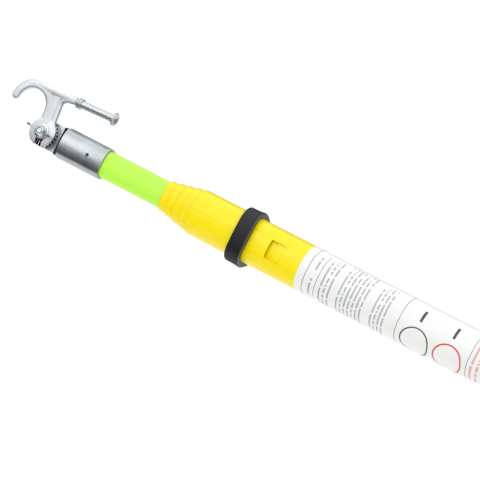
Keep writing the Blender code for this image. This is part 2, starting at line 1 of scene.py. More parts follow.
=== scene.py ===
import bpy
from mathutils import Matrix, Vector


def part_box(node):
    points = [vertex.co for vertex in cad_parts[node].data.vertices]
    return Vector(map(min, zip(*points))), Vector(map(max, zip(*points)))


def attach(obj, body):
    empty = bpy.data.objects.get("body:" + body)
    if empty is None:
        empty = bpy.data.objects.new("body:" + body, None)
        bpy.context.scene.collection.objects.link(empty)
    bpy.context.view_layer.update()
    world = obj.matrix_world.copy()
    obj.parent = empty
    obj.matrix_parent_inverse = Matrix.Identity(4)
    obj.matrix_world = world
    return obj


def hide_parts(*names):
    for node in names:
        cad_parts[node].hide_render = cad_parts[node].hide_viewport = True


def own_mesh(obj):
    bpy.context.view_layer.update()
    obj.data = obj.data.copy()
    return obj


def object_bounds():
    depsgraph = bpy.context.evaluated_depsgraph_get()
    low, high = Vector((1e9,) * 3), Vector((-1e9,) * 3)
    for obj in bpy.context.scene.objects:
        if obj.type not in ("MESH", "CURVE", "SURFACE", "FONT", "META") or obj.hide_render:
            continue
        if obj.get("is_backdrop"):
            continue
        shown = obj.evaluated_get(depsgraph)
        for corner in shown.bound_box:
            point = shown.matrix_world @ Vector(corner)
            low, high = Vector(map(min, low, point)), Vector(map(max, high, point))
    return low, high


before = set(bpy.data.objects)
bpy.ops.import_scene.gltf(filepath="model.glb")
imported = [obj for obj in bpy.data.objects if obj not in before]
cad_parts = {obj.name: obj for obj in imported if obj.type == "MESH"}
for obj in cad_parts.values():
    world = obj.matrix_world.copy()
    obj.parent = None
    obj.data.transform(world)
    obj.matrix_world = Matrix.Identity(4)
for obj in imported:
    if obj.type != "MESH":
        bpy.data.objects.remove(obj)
cad_low, cad_high = (list(corner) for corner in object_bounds())

from math import asin, atan2, cos, degrees, exp, hypot, pi, radians, sin, sqrt

import bmesh
import bpy
from bpy.props import FloatProperty, FloatVectorProperty, IntProperty, PointerProperty
from mathutils import Matrix, Vector

bl_info = {
    "name": "Telescopic earthing rod",
    "version": (1, 0, 0),
    "blender": (4, 5, 0),
    "location": "3D View > Sidebar > Rod",
    "description": "Builds a nested rounded-triangle insulating rod with its end fitting and hook head",
    "category": "Object",
}


def linear(code):
    """an sRGB hex colour as the linear red, green and blue that shaders take"""
    parts = [int(code[i:i + 2], 16) / 255 for i in (0, 2, 4)]
    return tuple(c / 12.92 if c <= 0.04045 else ((c + 0.055) / 1.055) ** 2.4 for c in parts)


def stations(node):
    """where a node's foot and mouth are, as distances from the butt end"""
    low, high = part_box(node)
    return -high.x, -low.x


TUBES = {6: "base_tube", **{n: f"section_{n}_tube" for n in (5, 4, 3, 2)}, 1: "tip_tube"}
BODY = {n: f"section_{n}" for n in TUBES}
BASE_TOP = stations("base_tube")[1]
SOCKET_RIM = stations("socket_fitting")[0]
BOLT_AT = -sum(corner.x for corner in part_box("flat_washer")) / 2
CLEAR = 0.0003

# Rounded-triangle section: corner and flat arcs keep their centres, so each tube is an exact offset
CORNER_SPREAD = 0.0098
CORNER_R = 0.022
FLAT_R = 0.060
HALF_FLAT = degrees(asin(CORNER_SPREAD * sin(pi / 3) / (FLAT_R - CORNER_R)))
FLAT_BACK = sqrt((FLAT_R - CORNER_R) ** 2 - (CORNER_SPREAD * sin(pi / 3)) ** 2) - CORNER_SPREAD / 2
APOTHEM = FLAT_R - FLAT_BACK
SECTION_STEP = 0.00245

# Lock windows and buttons
WINDOW_SHARE, WINDOW_CORNER = 0.84, 0.0025
BUTTON_FROM_FOOT, BUTTON_HEIGHT = 0.033, 0.0072

# Drawing axes of the tubes, of what sits on the bolt, of the hook and of the nut, in degrees
ROD_TURN, HEAD_TURN, NUT_TURN = 60, 6.1, -4.6
ROD = Matrix.Rotation(radians(ROD_TURN), 4, "X")
BOLT = ROD @ Matrix.Translation((-BOLT_AT, 0, 0))
HEAD = BOLT @ Matrix.Rotation(radians(HEAD_TURN), 4, "Z")
NUT = BOLT @ Matrix.Rotation(radians(NUT_TURN), 4, "Z")

# Lug, boss and what is stacked on the bolt, as heights along it
LUG_R, LUG_BACK, LUG_CREST = 0.0185, -0.0115, 0.0070
BOSS_R, BOSS_CREST, BOSS_TOP = 0.0189, 0.0073, 0.0115
TOOTH_INNER_R = 0.0112
PLATE_BACK, PLATE_FRONT = 0.0035, 0.0109
BOLT_R, BOLT_HOLE_R = 0.0039, 0.0043
WASHER_R, WASHER_THICK = 0.0102, 0.0016
WASHER_BASE = BOSS_TOP + CLEAR
NUT_BASE = WASHER_BASE + WASHER_THICK + CLEAR
NUT_HEIGHT, THREAD_PITCH = 0.0062, 0.00125

# Socket: places along the rod are measured from the bolt's axis
SOCKET_LENGTH, SOCKET_WALL = 0.1028, 0.0026
NECK_FULL, STEP_AT = 0.0300, 0.0344
GROOVE, GROOVE_DEEP = (0.0216, 0.0262), 0.0016
TIP_OFFSET = -5 * SECTION_STEP
SOCKET_OFFSET = TIP_OFFSET + CLEAR + SOCKET_WALL
PIN_AT, PIN_R, PIN_BORE_R, PIN_HOLE_R, PIN_LENGTH = 0.0787, 0.0026, 0.0015, 0.0029, 0.013

# Hook casting, in the head's own axes
ARM_DROOP, ARM_HEIGHT, ARM_END = 3.7, 0.0098, 0.0268
STEM_LEFT, STEM_RIGHT = 0.0102, 0.0119
EYE_R, EYE_UP = 0.0217, 0.0275
HOOK_AT, HOOK_R, HOOK_TIP_R = (-0.0348, 0.0325), 0.0281, 0.0049
NECK_LEFT_R, NECK_RIGHT_R, CROTCH_R, ARM_TAPER = 0.0065, 0.004, 0.0067, 8.0
SLOT_HALF = 0.0056
PANEL_SIZE, PANEL_AT, PANEL_DEEP, PANEL_CORNER = (0.0114, 0.0345), (0.0007, 0.03225), 0.0008, 0.0026
PRONG_DROP, PRONG_BACK = 0.0006, 0.0008
SPIGOT_R, SPIGOT_HOLE_R, SPIGOT_LENGTH = 0.0025, 0.0028, 0.012


def length(name, default, description):
    return FloatProperty(name=name, description=description, default=default, unit="LENGTH")


def paint(name, code, description):
    return FloatVectorProperty(name=name, description=description, default=linear(code), subtype="COLOR",
                               min=0, max=1)


class RodSizes(bpy.types.PropertyGroup):
    wall: length("Wall", 0.00205, "Wall of every tube")
    rim: length("Rim", 0.0005, "Rounding of the tubes' mouths")
    window_length: length("Window", 0.0244, "Length of a lock window along the rod")
    window_from_top: length("Window place", 0.1372, "From a tube's mouth to its window's middle")
    teeth: IntProperty(name="Teeth", description="Radial teeth on each toothed face", default=24, min=8)
    tooth: length("Tooth", 0.0026, "Height of the hook's radial teeth")
    lug_tooth: length("Lug tooth", 0.0056, "Height of the lug's radial teeth")
    casting_round: length("Casting", 0.0031, "Rounding of the hook's long edges")
    guard_lean: length("Guard lean", 0.0100, "How far the ring's back sits nearer the head than its front")
    socket_bore: length("Socket bore", 0.057, "Depth of the socket over the tip tube")
    wing_reach: length("Wing", 0.0188, "From the bolt's axis to a wing's tip")
    prong_radius: length("Prong", 0.0051, "Radius of the prong's shaft")


class RodColours(bpy.types.PropertyGroup):
    yellow: paint("Yellow", "FDE300", "Gel coat of the five large tubes")
    green: paint("Green", "BCFC4E", "Gel coat of the tip tube")
    aluminium: paint("Aluminium", "E9EBED", "Cast end fitting and hook")
    zinc: paint("Zinc", "CDD3D4", "Plating of bolt, washer and nut")
    rubber: paint("Rubber", "0E1114", "Guard ring and butt cap")
    film: paint("Film", "EDEDEA", "Ground of the wrap label")
    print_red: paint("Red", "D8342B", "Second ring and two rows printed on the label")


# ---- modelling by hand

def start(kind, name, **size):
    """a mesh primitive at its size and place, as the only thing selected"""
    bpy.ops.object.select_all(action="DESELECT")
    getattr(bpy.ops.mesh, f"primitive_{kind}_add")(**size)
    obj = bpy.context.object
    obj.name = obj.data.name = name
    return obj


def edit(obj):
    bpy.context.view_layer.objects.active = obj
    bpy.ops.object.mode_set(mode="EDIT")


def leave():
    bpy.ops.object.mode_set(mode="OBJECT")


def select_all():
    bpy.ops.mesh.select_all(action="SELECT")


def bevel(offset, segments, affect="EDGES"):
    bpy.ops.mesh.bevel(offset=offset, segments=segments, affect=affect)


def extrude(step):
    bpy.ops.mesh.extrude_region_move(TRANSFORM_OT_translate={"value": step})


def pen(name, point):
    """one vertex at a point, in edit mode, from which an outline is drawn"""
    obj = start("plane", name, size=0.01)
    edit(obj)
    bpy.ops.mesh.select_mode(type="VERT")
    select_all()
    bpy.ops.mesh.merge(type="CENTER")
    bpy.ops.transform.translate(value=point)
    return obj


def line(obj, point):
    """extrudes the outline's last vertex to a point"""
    last = next(v for v in bmesh.from_edit_mesh(obj.data).verts if v.select)
    step = Vector(point) - last.co
    if step.length > 1e-7:
        extrude(step)


def turn(centre, angle, steps, axis):
    """spins what is selected about an axis, by degrees that count anticlockwise seen from the axis's tip"""
    bpy.ops.mesh.spin(steps=steps, angle=radians(angle), center=centre, axis=[-a for a in axis])


def close(obj, fill=False):
    """joins an outline's two ends, or a spun mesh's, and can fill it with a face"""
    select_all()
    bpy.ops.mesh.remove_doubles(threshold=2e-6)
    if fill:
        bpy.ops.mesh.edge_face_add()
    return obj


def outward(obj):
    select_all()
    bpy.ops.mesh.normals_make_consistent(inside=False)
    leave()
    return obj


def pick(obj, kind, test):
    """selects in edit mode each vertex, edge or face that passes a test of its middle and its direction"""
    bpy.ops.mesh.select_mode(type=kind)
    bpy.ops.mesh.select_all(action="DESELECT")
    bm = bmesh.from_edit_mesh(obj.data)
    for item in {"VERT": bm.verts, "EDGE": bm.edges, "FACE": bm.faces}[kind]:
        if kind == "EDGE":
            a, b = (v.co for v in item.verts)
            passed = test((a + b) / 2, (b - a).normalized())
        elif kind == "VERT":
            passed = test(item.co, item.normal)
        else:
            passed = test(item.calc_center_median(), item.normal)
        item.select_set(passed)
    bm.select_flush_mode()
    bmesh.update_edit_mesh(obj.data)


def modify(obj, kind, **settings):
    """a modifier, applied"""
    bpy.context.view_layer.objects.active = obj
    mod = obj.modifiers.new(kind.lower(), kind)
    for key, value in settings.items():
        setattr(mod, key, value)
    bpy.ops.object.modifier_apply(modifier=mod.name)


def join(obj, other, operation="DIFFERENCE"):
    """a Boolean with a helper that is then thrown away"""
    modify(obj, "BOOLEAN", operation=operation, object=other, solver="EXACT")
    bpy.data.objects.remove(other, do_unlink=True)


def slab(obj, height):
    """gives a filled outline that is selected a thickness, and leaves edit mode"""
    extrude(height)
    return outward(obj)


def block(name, size, at, corner, axis=2, segments=5):
    """a cuboid whose edges along one axis are rounded; a cutter for windows, slots and panels"""
    obj = start("cube", name, size=1, location=at, scale=size)
    bpy.ops.object.transform_apply(location=True, rotation=False, scale=True)
    edit(obj)
    pick(obj, "EDGE", lambda middle, way: abs(way[axis]) > 0.9)
    bevel(corner, segments)
    leave()
    return obj


def round_bar(name, radius, low, high, sides=48):
    """a round cutter or helper along z"""
    at = (0, 0, (low + high) / 2)
    obj = start("cylinder", name, vertices=sides, radius=radius, depth=high - low, location=at)
    bpy.ops.object.transform_apply(location=True, rotation=False, scale=False)
    return obj


def round_section(obj, flat_steps=10, corner_steps=26):
    """spins what is selected once round the rod's section, from the middle of the window flat"""
    half, full = HALF_FLAT, 120 - 2 * HALF_FLAT

    def centre(facing, distance):
        return 0, distance * cos(radians(facing)), distance * sin(radians(facing))

    turn(centre(90, -FLAT_BACK), half, flat_steps // 2, (1, 0, 0))
    for corner in (150, 270, 30):
        turn(centre(corner, CORNER_SPREAD), full, corner_steps, (1, 0, 0))
        last = corner == 30
        angle, steps = (half, flat_steps // 2) if last else (2 * half, flat_steps)
        turn(centre(corner + 60, -FLAT_BACK), angle, steps, (1, 0, 0))
    return close(obj)


def fill_ends(obj):
    """closes a tube's open ends with faces"""
    pick(obj, "EDGE", lambda middle, way: False)
    bpy.ops.mesh.select_non_manifold()
    bpy.ops.mesh.edge_face_add()


def sleeve(name, profile, rim=0.0, flat_steps=10, corner_steps=26, form="loop"):
    """a body of the rod's section: its profile of (distance from the butt end, offset) goes once round. A
    loop profile closes itself, a solid's is an open line whose ends are filled, and a sheet's stays open"""
    points = [(-s, 0, APOTHEM + offset) for s, offset in profile]
    obj = pen(name, points[0])
    for point in points[1:] + (points[:1] if form == "loop" else []):
        line(obj, point)
    close(obj)
    if rim:
        bevel(rim, 3, "VERTICES")
        select_all()
    round_section(obj, flat_steps, corner_steps)
    if form == "solid":
        fill_ends(obj)
    return outward(obj)


def lathe(name, profile, steps=48, axis=(0, 0, 1), rim=0.0):
    """a profile of (radius, height) spun about the axis. Ends on the axis close by themselves, and with a rim
    the profile is a loop whose corners are rounded"""
    along = Vector(axis)
    out = Vector((1, 0, 0)) if along.z else Vector((0, 0, 1))
    points = [out * r + along * h for r, h in profile]
    obj = pen(name, points[0])
    for point in points[1:] + (points[:1] if rim else []):
        line(obj, point)
    close(obj)
    if rim:
        bevel(rim, 2, "VERTICES")
        select_all()
    turn((0, 0, 0), 360, steps, axis)
    return outward(close(obj))


def collar(name, inner, outer, low, high, steps):
    """a plain ring or short tube round z with eased edges"""
    profile = ((inner, low), (outer, low), (outer, high), (inner, high))
    return lathe(name, profile, steps, rim=0.0003)


def choose(*objects):
    """selects objects, the last of them active"""
    bpy.ops.object.select_all(action="DESELECT")
    for obj in objects:
        obj.select_set(True)
    bpy.context.view_layer.objects.active = objects[-1]


def place(obj, matrix):
    """moves a finished mesh from its drawing axes to its place, and leaves its object at the origin"""
    choose(obj)
    obj.matrix_world = matrix @ obj.matrix_world
    bpy.ops.object.transform_apply(location=True, rotation=True, scale=True)


def finish(obj, matrix, finishes, body, node, smooth=30.0, second=None):
    """place, smooth shading, finishes, body and the CAD node that the piece stands for, which is hidden.
    Faces that pass the test called second, in the drawing axes, take the second finish"""
    marked = [face.index for face in obj.data.polygons if second and second(face)]
    place(obj, matrix)
    bpy.ops.object.shade_smooth_by_angle(angle=radians(smooth), keep_sharp_edges=False)
    obj.data.materials.clear()
    for name in finishes:
        obj.data.materials.append(FINISHES[name])
    for index in marked:
        obj.data.polygons[index].material_index = 1
    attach(obj, body)
    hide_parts(node)


# ---- materials

def add(tree, kind, links=None, **settings):
    """a shader node, its settings, and what its sockets take: a value, a socket or a node's first output"""
    made = tree.nodes.new("ShaderNode" + kind)
    for key, value in settings.items():
        setattr(made, key, value)
    for key, value in (links or {}).items():
        if isinstance(value, bpy.types.Node):
            value = value.outputs[0]
        if isinstance(value, bpy.types.NodeSocket):
            tree.links.new(value, made.inputs[key])
        else:
            made.inputs[key].default_value = value
    return made


def tinted(colour, share=1.0):
    """a linear colour taken lighter or darker, with its alpha"""
    return *(min(1.0, c * share) for c in colour), 1


def surface(name, colour, **sockets):
    """a material with its Principled shader; returns it with its tree, shader and Object coordinates"""
    mat = bpy.data.materials.new(name)
    mat.use_nodes = True
    tree = mat.node_tree
    shader = tree.nodes["Principled BSDF"]
    shader.inputs["Base Color"].default_value = tinted(colour)
    for key, value in sockets.items():
        shader.inputs[key.replace("_", " ")].default_value = value
    mat.diffuse_color = tinted(colour)
    return mat, tree, shader, add(tree, "TexCoord").outputs["Object"]


def dress(tree, shader, colour, pattern, shades, rough, relief, strength, depth):
    """a pattern varies colour and roughness between two values each, and a relief, in metres, bumps them"""
    tone = add(tree, "Mix", {"Factor": pattern, 6: tinted(colour, shades[0]), 7: tinted(colour, shades[1])},
               data_type="RGBA")
    dull = add(tree, "MapRange", {"Value": pattern, "To Min": rough[0], "To Max": rough[1]})
    bump = add(tree, "Bump", {"Height": relief, "Strength": strength, "Distance": depth})
    for socket, source in (("Base Color", tone.outputs[2]), ("Roughness", dull.outputs[0]),
                           ("Normal", bump.outputs[0])):
        tree.links.new(source, shader.inputs[socket])


def within(tree, *spans):
    """1 where each socket lies between its two values, and 0 elsewhere"""
    inside = 1.0
    for socket, low, high in spans:
        span = add(tree, "Math", {0: socket, 1: (low + high) / 2, 2: (high - low) / 2}, operation="COMPARE")
        inside = add(tree, "Math", {0: inside, 1: span}, operation="MULTIPLY")
    return inside


def gel_coat(name, colour):
    """Glass-fibre tube under a pigmented gel coat: an even, glossy colour whose lengthwise draw lines, about
    4 mm apart, only show as faint streaks in the highlight"""
    mat, tree, shader, place_at = surface(name, colour, Specular_IOR_Level=0.35, Coat_Weight=0.12,
                                          Coat_Roughness=0.1)
    along = add(tree, "Mapping", {"Vector": place_at, "Scale": (3, 240, 240)})
    streaks = add(tree, "TexNoise", {"Vector": along, "Scale": 1.0, "Detail": 3.0})
    dress(tree, shader, colour, streaks, (0.91, 1.08), (0.24, 0.36), streaks, 0.12, 0.0002)
    return mat


def cast_aluminium(name, colour, roughness):
    """Gravity-cast aluminium: a pale satin metal with a sandy skin, whose tone drifts over patches of 17 mm.
    Its grains are about 0.4 mm, drawn at 0.9 mm so that they show"""
    mat, tree, shader, place_at = surface(name, colour, Metallic=1.0)
    grains = add(tree, "TexNoise", {"Vector": place_at, "Scale": 1100.0, "Detail": 4.0, "Roughness": 0.6})
    patches = add(tree, "TexNoise", {"Vector": place_at, "Scale": 60.0, "Detail": 3.0})
    rough = (roughness - 0.07, roughness + 0.08)
    dress(tree, shader, colour, patches, (0.76, 1.14), rough, grains, 0.25, 0.0003)
    return mat


def casting_with_painted_shade(name, colour, roughness):
    """The same casting with painted shade where the head turns on the lug: the valleys between the
    teeth, a low band round the lug and the groove before the step are painted dark, and the crests stay
    bright"""
    mat = cast_aluminium(name, colour, roughness)
    tree = mat.node_tree
    shader = tree.nodes["Principled BSDF"]
    clean = shader.inputs["Base Color"].links[0].from_socket
    place_at = next(n for n in tree.nodes if n.type == "TEX_COORD").outputs["Object"]
    turned = add(tree, "Mapping", {"Vector": place_at, "Rotation": (-radians(ROD_TURN), 0, 0),
                                   "Location": (BOLT_AT, 0, 0)})
    x, y, z = add(tree, "SeparateXYZ", {"Vector": turned}).outputs
    flat = add(tree, "CombineXYZ", {"X": x, "Y": y})
    reach = add(tree, "VectorMath", {0: flat}, operation="LENGTH").outputs["Value"]
    edge = 0.0004
    # painted shade: the valleys between the lug's and the boss's teeth, a low band round the lug and the
    # groove before the step
    shaded_zones = (
        ((reach, edge - LUG_R, LUG_R - edge), (z, 0.0006, LUG_CREST - edge)),
        ((reach, -LUG_R - CLEAR, LUG_R + CLEAR), (z, 0.0006, 0.0030)),
        ((reach, edge - BOSS_R, BOSS_R - edge), (z, BOSS_CREST + CLEAR, 0.0098)),
        ((x, GROOVE[0] - 0.0001, GROOVE[1] + 0.0001), (z, -GROOVE_DEEP - 0.0001, -0.0001)),
    )
    painted_shade = 0.0
    for zone in shaded_zones:
        painted_shade = add(tree, "Math", {0: painted_shade, 1: within(tree, *zone)}, operation="MAXIMUM")
    patchy = add(tree, "TexNoise", {"Vector": place_at, "Scale": 320.0, "Detail": 3.0})
    patchy = add(tree, "MapRange", {"Value": patchy, "From Min": 0.3, "From Max": 0.6, "To Min": 0.84,
                                    "To Max": 1.0})
    painted_shade = add(tree, "Math", {0: painted_shade, 1: patchy}, operation="MULTIPLY")
    # mixes in the painted shade, a dark grey
    tone = add(tree, "Mix", {"Factor": painted_shade, 6: clean, 7: tinted(linear("2A2D30"))}, data_type="RGBA")
    tree.links.new(tone.outputs[2], shader.inputs["Base Color"])
    return mat


def bright_metal(name, colour, roughness):
    """Turned or plated metal: a tight highlight, broken by tool marks. They are 0.2 mm apart or less, drawn
    about 2 mm apart so that they show"""
    mat, tree, shader, place_at = surface(name, colour, Metallic=1.0)
    marks = add(tree, "TexNoise", {"Vector": place_at, "Scale": 420.0, "Detail": 2.0})
    rough = (roughness * 0.7, roughness * 1.3)
    dress(tree, shader, colour, marks, (0.86, 1.1), rough, marks, 0.1, 0.0001)
    return mat


def moulded(name, colour, roughness, grain, depth):
    """Moulded rubber, nylon or foam: a dull even colour with a fine pebbled skin, its grain in metres"""
    mat, tree, shader, place_at = surface(name, colour)
    pebbles = add(tree, "TexVoronoi", {"Vector": place_at, "Scale": 1 / grain})
    haze = add(tree, "TexNoise", {"Vector": place_at, "Scale": 45.0, "Detail": 4.0})
    rough = (roughness - 0.1, roughness + 0.08)
    dress(tree, shader, colour, haze, (0.5, 1.55), rough, pebbles, 0.3, depth)
    return mat


def printed_film(name, ground, ink, red):
    """White vinyl film with generic print: thin rules, rows of grey bars where wording would be, and two
    plain rings. Millimetres along the rod are the UV map's U and round it are its V"""
    mat, tree, shader, place_at = surface(name, ground, Roughness=0.35, Coat_Weight=0.3, Coat_Roughness=0.2)
    uv = add(tree, "UVMap", uv_map="wrap")
    u, v, _ = add(tree, "SeparateXYZ", {"Vector": uv}).outputs

    def box(u0, u1, v0, v1):
        return within(tree, (u, u0, u1), (v, v0, v1))

    def rows(u0, u1, v0, v1, count):
        """bars a row apart, broken where words would end"""
        row = add(tree, "Math", {0: u, 1: count / (u1 - u0), 2: -u0 * count / (u1 - u0)},
                  operation="MULTIPLY_ADD")
        bar = add(tree, "Math", {0: add(tree, "Math", {0: row}, operation="FRACT"), 1: 0.38},
                  operation="LESS_THAN")
        cell = add(tree, "Math", {0: v, 1: 1 / 2.3, 2: 100.0}, operation="MULTIPLY_ADD")
        spread = add(tree, "CombineXYZ", {
            "X": add(tree, "Math", {0: row}, operation="FLOOR"),
            "Y": add(tree, "Math", {0: cell}, operation="FLOOR")})
        gaps = add(tree, "TexWhiteNoise", {"Vector": spread}, noise_dimensions="3D")
        word = add(tree, "Math", {0: gaps, 1: 0.2}, operation="GREATER_THAN")
        lines = add(tree, "Math", {0: bar, 1: word}, operation="MULTIPLY")
        return add(tree, "Math", {0: box(u0, u1, v0, v1), 1: lines}, operation="MULTIPLY")

    def ring(u0, v0, radius, width):
        across = add(tree, "Math", {0: v, 1: 1.12, 2: -1.12 * v0}, operation="MULTIPLY_ADD")
        along = add(tree, "Math", {0: u, 1: u0}, operation="SUBTRACT")
        reach = add(tree, "VectorMath", {0: add(tree, "CombineXYZ", {"X": along, "Y": across})},
                    operation="LENGTH").outputs["Value"]
        return add(tree, "Math", {0: reach, 1: radius, 2: width / 2}, operation="COMPARE")

    def printed(under, colour, share, marks):
        """lays marks of one colour over what is under them"""
        total = 0.0
        for mark in marks:
            total = add(tree, "Math", {0: total, 1: mark}, operation="MAXIMUM")
        total = add(tree, "Math", {0: total, 1: share}, operation="MULTIPLY")
        return add(tree, "Mix", {"Factor": total, 6: under, 7: tinted(colour)},
                   data_type="RGBA").outputs[2]

    tone = printed(tinted(ground), linear("A9ABAE"), 1.0, (
        rows(200, 207, -30, -8, 1), rows(200, 207, 4, 30, 1), rows(216, 236, -42, 30, 3),
        rows(244, 287, -42, 34, 7), rows(298, 322, -42, 30, 4)))
    tone = printed(tone, ink, 1.0, (
        box(189.7, 190.5, -90, 90), box(208.6, 209.3, -30, 30), box(337.6, 338.4, -90, 90),
        ring(368.5, -22, 21.4, 1.9), box(365, 369, 6, 22), box(417, 421, 6, 22),
        box(450, 450.8, -90, 90), box(478, 478.8, -90, -6), box(590, 590.8, -90, 90)))
    tone = printed(tone, red, 1.0, (ring(420.5, -22, 21.4, 2.2),))
    tone = printed(tone, red, 0.55, (rows(456, 474, -34, 14, 2),))
    tree.links.new(tone, shader.inputs["Base Color"])
    ripple = add(tree, "TexNoise", {"Vector": place_at, "Scale": 70.0, "Detail": 2.0})
    bump = add(tree, "Bump", {"Height": ripple, "Strength": 0.15, "Distance": 0.0003})
    tree.links.new(bump.outputs[0], shader.inputs["Normal"])
    return mat


FINISHES = {}


def make_finishes(colours):
    FINISHES.update(
        yellow=gel_coat("yellow gel-coated glass fibre", colours.yellow),
        green=gel_coat("green gel-coated glass fibre", colours.green),
        # darker resin of the sawn mouths, which also paints the shade line where one tube meets the next
        cut=moulded("sawn glass-fibre edge and painted shade", linear("DDAE1C"), 0.6, 0.0007, 0.0002),
        # the casting with painted shade in its teeth valleys and in the groove before the step
        cast=casting_with_painted_shade("blasted cast aluminium with painted shade", colours.aluminium, 0.46),
        rubbed=cast_aluminium("rubbed cast aluminium", linear("B6BABD"), 0.27),
        turned=bright_metal("turned aluminium", linear("CDD0D3"), 0.38),
        zinc=bright_metal("zinc-plated steel", colours.zinc, 0.26),
        # a darker zinc for the wings
        dulled=bright_metal("darker zinc plate", linear("868D90"), 0.34),
        steel=bright_metal("spring steel", linear("A8ABB0"), 0.3),
        rubber=moulded("moulded rubber", colours.rubber, 0.62, 0.0012, 0.0002),
        # a lighter rubber that paints the highlight on the guard ring's lip
        rubbed_rubber=moulded("rubber with painted highlight", linear("4A4B46"), 0.5, 0.0012, 0.0002),
        nylon=moulded("black nylon", linear("1C1D20"), 0.45, 0.0009, 0.0001),
        foam=moulded("filler foam", linear("D9CF9E"), 0.9, 0.0011, 0.0004),
        film=printed_film("printed vinyl film", colours.film, linear("2B2C2F"), colours.print_red),
    )


# ---- pieces

def face_height(section):
    return APOTHEM + (section - 6) * SECTION_STEP


def window_width(section):
    return WINDOW_SHARE * (CORNER_SPREAD * sin(pi / 3) + CORNER_R + (section - 6) * SECTION_STEP)


def window_cutter(section, s, width_of, sizes):
    """a rounded block through one wall of a section's window flat"""
    middle, through = face_height(section) - sizes.wall / 2, 0.009
    size = (sizes.window_length, window_width(width_of), through)
    return block("window", size, (-s, 0, middle), WINDOW_CORNER)


def toothed(name, radius, crest, back, teeth, tooth):
    """a disc with radial teeth on its crest side, sunken inside them, and a rounded edge on its back"""
    deep = tooth if crest > back else -tooth
    sides = 4 * teeth
    obj = round_bar(name, radius, min(crest, back), max(crest, back), sides)
    edit(obj)
    pick(obj, "FACE", lambda middle, n: n.z * (crest - back) > 0 and abs(n.z) > 0.9)
    bpy.ops.mesh.inset(thickness=radius - TOOTH_INNER_R)
    pick(obj, "FACE", lambda middle, n: abs(middle.z - crest) < 1e-6 and middle.xy.length < 1e-4)
    bpy.ops.mesh.inset(thickness=0.0004)
    bpy.ops.transform.translate(value=(0, 0, -deep))
    slot = 2 * pi / sides

    def low(co):
        return round((atan2(co.y, co.x) % (2 * pi)) / slot - 0.25) % 4 in (2, 3)

    for near, far, depth in ((radius - 1e-4, 1, deep), (0, TOOTH_INNER_R + 1e-4, 0.9 * deep)):
        pick(obj, "VERT", lambda co, n: abs(co.z - crest) < 1e-6 and near < co.xy.length < far and low(co))
        bpy.ops.transform.translate(value=(0, 0, -depth))
    pick(obj, "EDGE", lambda middle, way: abs(middle.z - back) < 1e-6 and middle.xy.length > radius * 0.98)
    bevel(0.0010, 3)
    return outward(obj)


def arm_point(along, up):
    a = radians(ARM_DROOP)
    return along * cos(a) + up * sin(a), up * cos(a) - along * sin(a)


ARM_TOP = HOOK_AT[0] * sin(radians(ARM_DROOP)) + HOOK_AT[1] * cos(radians(ARM_DROOP)) + HOOK_R


def hook_plate(sizes):
    """draws arm, hook and stem as arcs and straight runs between them, anticlockwise from the arm's end"""
    up = Vector((0, 0, 1))

    def at(x, y):
        return x, y, PLATE_BACK

    def towards(a, b):
        return degrees(atan2(b[1] - a[1], b[0] - a[0])) % 360

    eye = (-(STEM_LEFT + EYE_R), EYE_UP)
    r0, r1 = HOOK_R - HOOK_TIP_R, EYE_R + HOOK_TIP_R
    gap = Vector(eye) - Vector(HOOK_AT)
    along = (r0 * r0 - r1 * r1 + gap.length_squared) / (2 * gap.length)
    middle = Vector(HOOK_AT) + gap.normalized() * along
    side = gap.normalized().orthogonal() * sqrt(r0 * r0 - along * along)
    tip = min(middle + side, middle - side, key=lambda p: p.y)
    first, second = towards(HOOK_AT, tip), towards(tip, eye)
    under = arm_point(ARM_END, ARM_TOP - ARM_HEIGHT)
    obj = pen("hook_casting", at(*under))
    line(obj, at(*arm_point(ARM_END, ARM_TOP)))
    begin = radians(90 - ARM_DROOP)
    line(obj, at(HOOK_AT[0] + HOOK_R * cos(begin), HOOK_AT[1] + HOOK_R * sin(begin)))
    turn(at(*HOOK_AT), first - degrees(begin), 48, up)
    turn(at(*tip), second - first + (360 if second < first else 0), 16, up)
    turn(at(*eye), -((second + 180) % 360), 48, up)
    for half, radius, sign in ((STEM_LEFT, NECK_LEFT_R, -1), (STEM_RIGHT, NECK_RIGHT_R, 1)):
        neck = (half + radius, sqrt((BOSS_R + radius) ** 2 - (half + radius) ** 2))
        angle = degrees(atan2(neck[1], neck[0]))
        if sign < 0:
            line(obj, at(-half, neck[1]))
            turn(at(-neck[0], neck[1]), -angle, 10, up)
            for x in (-BOSS_R / 2, BOSS_R / 2):
                line(obj, at(x, 0))
        else:
            out = radians(180 + angle)
            line(obj, at(neck[0] + radius * cos(out), neck[1] + radius * sin(out)))
            turn(at(*neck), -angle, 8, up)
    taper, crotch_x = radians(ARM_TAPER - ARM_DROOP), STEM_RIGHT + CROTCH_R
    crotch_y = under[1] - (under[0] - crotch_x) * sin(taper) / cos(taper) - CROTCH_R / cos(taper)
    line(obj, at(STEM_RIGHT, crotch_y))
    turn(at(crotch_x, crotch_y), -(90 - degrees(taper)), 12, up)
    line(obj, at(*under))
    close(obj, fill=True)
    slab(obj, (0, 0, PLATE_FRONT - PLATE_BACK))
    edit(obj)
    pick(obj, "EDGE", lambda m, way: abs(way.z) < 0.1)
    bevel(sizes.casting_round, 6)
    return outward(obj)


def prong_seat():
    """where the prong leaves the arm's end; its x runs along the arm"""
    x, y = arm_point(ARM_END, ARM_TOP - ARM_HEIGHT / 2 - PRONG_DROP)
    z = (PLATE_BACK + PLATE_FRONT) / 2 - PRONG_BACK
    return Matrix.Translation((x, y, z)) @ Matrix.Rotation(radians(-ARM_DROOP), 4, "Z")


